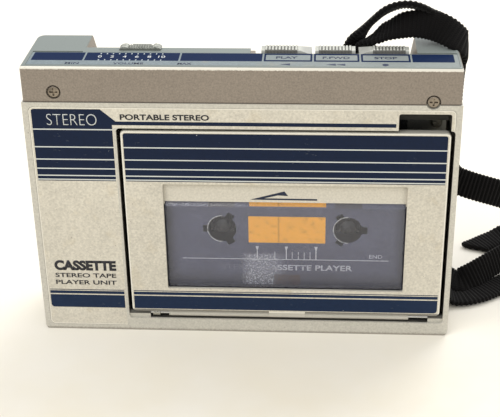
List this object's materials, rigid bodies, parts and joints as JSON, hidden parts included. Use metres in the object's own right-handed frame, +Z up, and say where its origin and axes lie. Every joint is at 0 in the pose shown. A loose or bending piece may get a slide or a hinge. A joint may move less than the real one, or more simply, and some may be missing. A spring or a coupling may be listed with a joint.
{
  "type": "pocket cassette player",
  "caption": "Pocket stereo cassette player with a hinged windowed door, top keys, slide volume control, tape deck, battery bay and webbing strap.",
  "frame": {"origin": "under the middle of the case, on the surface it stands on", "axes": "+X to the right seen from the front, +Y from the front face to the back, +Z up"},
  "size_m": [0.184, 0.0688, 0.1133],
  "materials": {
    "case_silver": "silver lacquered moulding",
    "cap_silver": "warm silver lacquered moulding",
    "trim_metal": "printed brushed sheet",
    "label_metal": "printed satin sheet",
    "window": "clear moulding with a printed inner face",
    "bezel_silver": "silver lacquered moulding",
    "dark_plastic": "black moulding",
    "key_grey": "grey lacquered moulding",
    "knob_grey": "dark silver moulding",
    "steel": "plated pressing",
    "spring_steel": "drawn wire",
    "screw_steel": "nickel plated",
    "brass": "turned",
    "gear_white": "acetal",
    "reel_black": "acetal",
    "belt_rubber": "moulded loop",
    "pinch_rubber": "ground roller",
    "head_metal": "polished head shield",
    "board_green": "paper laminate board",
    "component_mix": "capacitors and chips",
    "cell_jacket": "printed steel can",
    "strap_webbing": "ribbed woven webbing"
  },
  "bodies": {
    "case": {"front_case": "case_silver", "back_case": "case_silver", "top_cap": "cap_silver", "trim_plate": "trim_metal", "label_strip": "label_metal", "strap_bar": "screw_steel", "case_screws": "screw_steel", "hinge_pin": "steel", "door_spring": "spring_steel", "door_catch": "spring_steel", "chassis_plate": "steel", "deck_bushes": "brass", "flywheel_bracket": "steel", "drive_belt": "belt_rubber", "motor_body": "steel", "motor_bracket": "steel", "deck_posts": "steel", "leaf_switch": "dark_plastic", "inner_screws": "screw_steel", "play_spring": "spring_steel", "ffwd_spring": "spring_steel", "stop_spring": "spring_steel", "slide_resistor": "dark_plastic", "circuit_board": "board_green", "board_parts": "component_mix", "headphone_jack": "dark_plastic", "power_jack": "dark_plastic", "battery_cells": "cell_jacket", "battery_contacts": "spring_steel", "strap_front_run": "strap_webbing", "strap_rear_run": "strap_webbing"},
    "door": {"door_shell": "case_silver", "door_trim": "trim_metal", "window_bezel": "bezel_silver", "window_lens": "window", "cassette_holder": "dark_plastic", "holder_spring": "spring_steel"},
    "play_key": {"play_key": "key_grey", "play_stem": "steel"},
    "ffwd_key": {"ffwd_key": "key_grey", "ffwd_stem": "steel"},
    "stop_key": {"stop_key": "key_grey", "stop_stem": "steel"},
    "volume_knob": {"volume_knob": "knob_grey", "volume_arm": "steel"},
    "battery_cover": {"battery_cover": "case_silver"},
    "head_slide": {"head_plate": "steel", "tape_head": "head_metal"},
    "pinch_arm": {"pinch_arm": "steel"},
    "pinch_roller": {"pinch_roller": "pinch_rubber"},
    "capstan": {"flywheel": "brass", "capstan_shaft": "steel", "capstan_pinion": "gear_white"},
    "motor_rotor": {"motor_pulley": "brass"},
    "idler": {"idler_gear": "gear_white"},
    "takeup_reel": {"takeup_reel": "reel_black", "takeup_gear": "gear_white"},
    "supply_reel": {"supply_reel": "reel_black", "supply_washer": "gear_white"}
  },
  "joints": [
    {"name": "door_hinge", "type": "hinge", "parent": "case", "child": "door", "pos_m": [0.0141, -0.0131, 0.00642], "axis": [1, 0, 0], "range_deg": [0, 60], "stiffness_Nm_per_rad": 0.01, "springref_deg": 80.21},
    {"name": "play_press", "type": "slide", "parent": "case", "child": "play_key", "axis": [0, 0, -1], "range_m": [0, 0.0035], "stiffness_N_per_m": 200, "springref_m": -0.001, "deforming": ["play_spring"]},
    {"name": "ffwd_press", "type": "slide", "parent": "case", "child": "ffwd_key", "axis": [0, 0, -1], "range_m": [0, 0.0035], "stiffness_N_per_m": 200, "springref_m": -0.001, "deforming": ["ffwd_spring"]},
    {"name": "stop_press", "type": "slide", "parent": "case", "child": "stop_key", "axis": [0, 0, -1], "range_m": [0, 0.0035], "stiffness_N_per_m": 200, "springref_m": -0.001, "deforming": ["stop_spring"]},
    {"name": "volume_slide", "type": "slide", "parent": "case", "child": "volume_knob", "axis": [1, 0, 0], "range_m": [-0.009, 0.008]},
    {"name": "battery_cover_slide", "type": "slide", "parent": "case", "child": "battery_cover", "axis": [-1, 0, 0], "range_m": [0, 0.03]},
    {"name": "head_lift", "type": "slide", "parent": "case", "child": "head_slide", "axis": [0, 0, -1], "range_m": [0, 0.0035]},
    {"name": "pinch_pivot", "type": "hinge", "parent": "case", "child": "pinch_arm", "pos_m": [-0.0243, -0.001, 0.07957], "axis": [0, 1, 0], "range_deg": [0, 15.6]},
    {"name": "pinch_roll", "type": "hinge", "parent": "pinch_arm", "child": "pinch_roller", "pos_m": [-0.0091, -0.006, 0.07857], "axis": [0, 1, 0], "continuous": true},
    {"name": "capstan_turn", "type": "hinge", "parent": "case", "child": "capstan", "pos_m": [-0.0093, 0.007, 0.06797], "axis": [0, 1, 0], "continuous": true},
    {"name": "motor_turn", "type": "hinge", "parent": "case", "child": "motor_rotor", "pos_m": [-0.055, 0.007, 0.072], "axis": [0, 1, 0], "continuous": true},
    {"name": "idler_turn", "type": "hinge", "parent": "case", "child": "idler", "pos_m": [-0.00302, 0.004, 0.05894], "axis": [0, 1, 0], "continuous": true},
    {"name": "takeup_turn", "type": "hinge", "parent": "case", "child": "takeup_reel", "pos_m": [-0.00715, 0.004, 0.03937], "axis": [0, 1, 0], "continuous": true},
    {"name": "supply_turn", "type": "hinge", "parent": "case", "child": "supply_reel", "pos_m": [0.03535, 0.004, 0.03937], "axis": [0, 1, 0], "continuous": true}
  ],
  "couplings": [
    {"joint": "head_lift", "follows": "play_press", "ratio": 1},
    {"joint": "pinch_pivot", "follows": "play_press", "rad_per_m": 77.293},
    {"joint": "motor_turn", "follows": "capstan_turn", "ratio": 7.0435},
    {"joint": "idler_turn", "follows": "capstan_turn", "ratio": -0.375},
    {"joint": "takeup_turn", "follows": "capstan_turn", "ratio": 0.25}
  ]
}
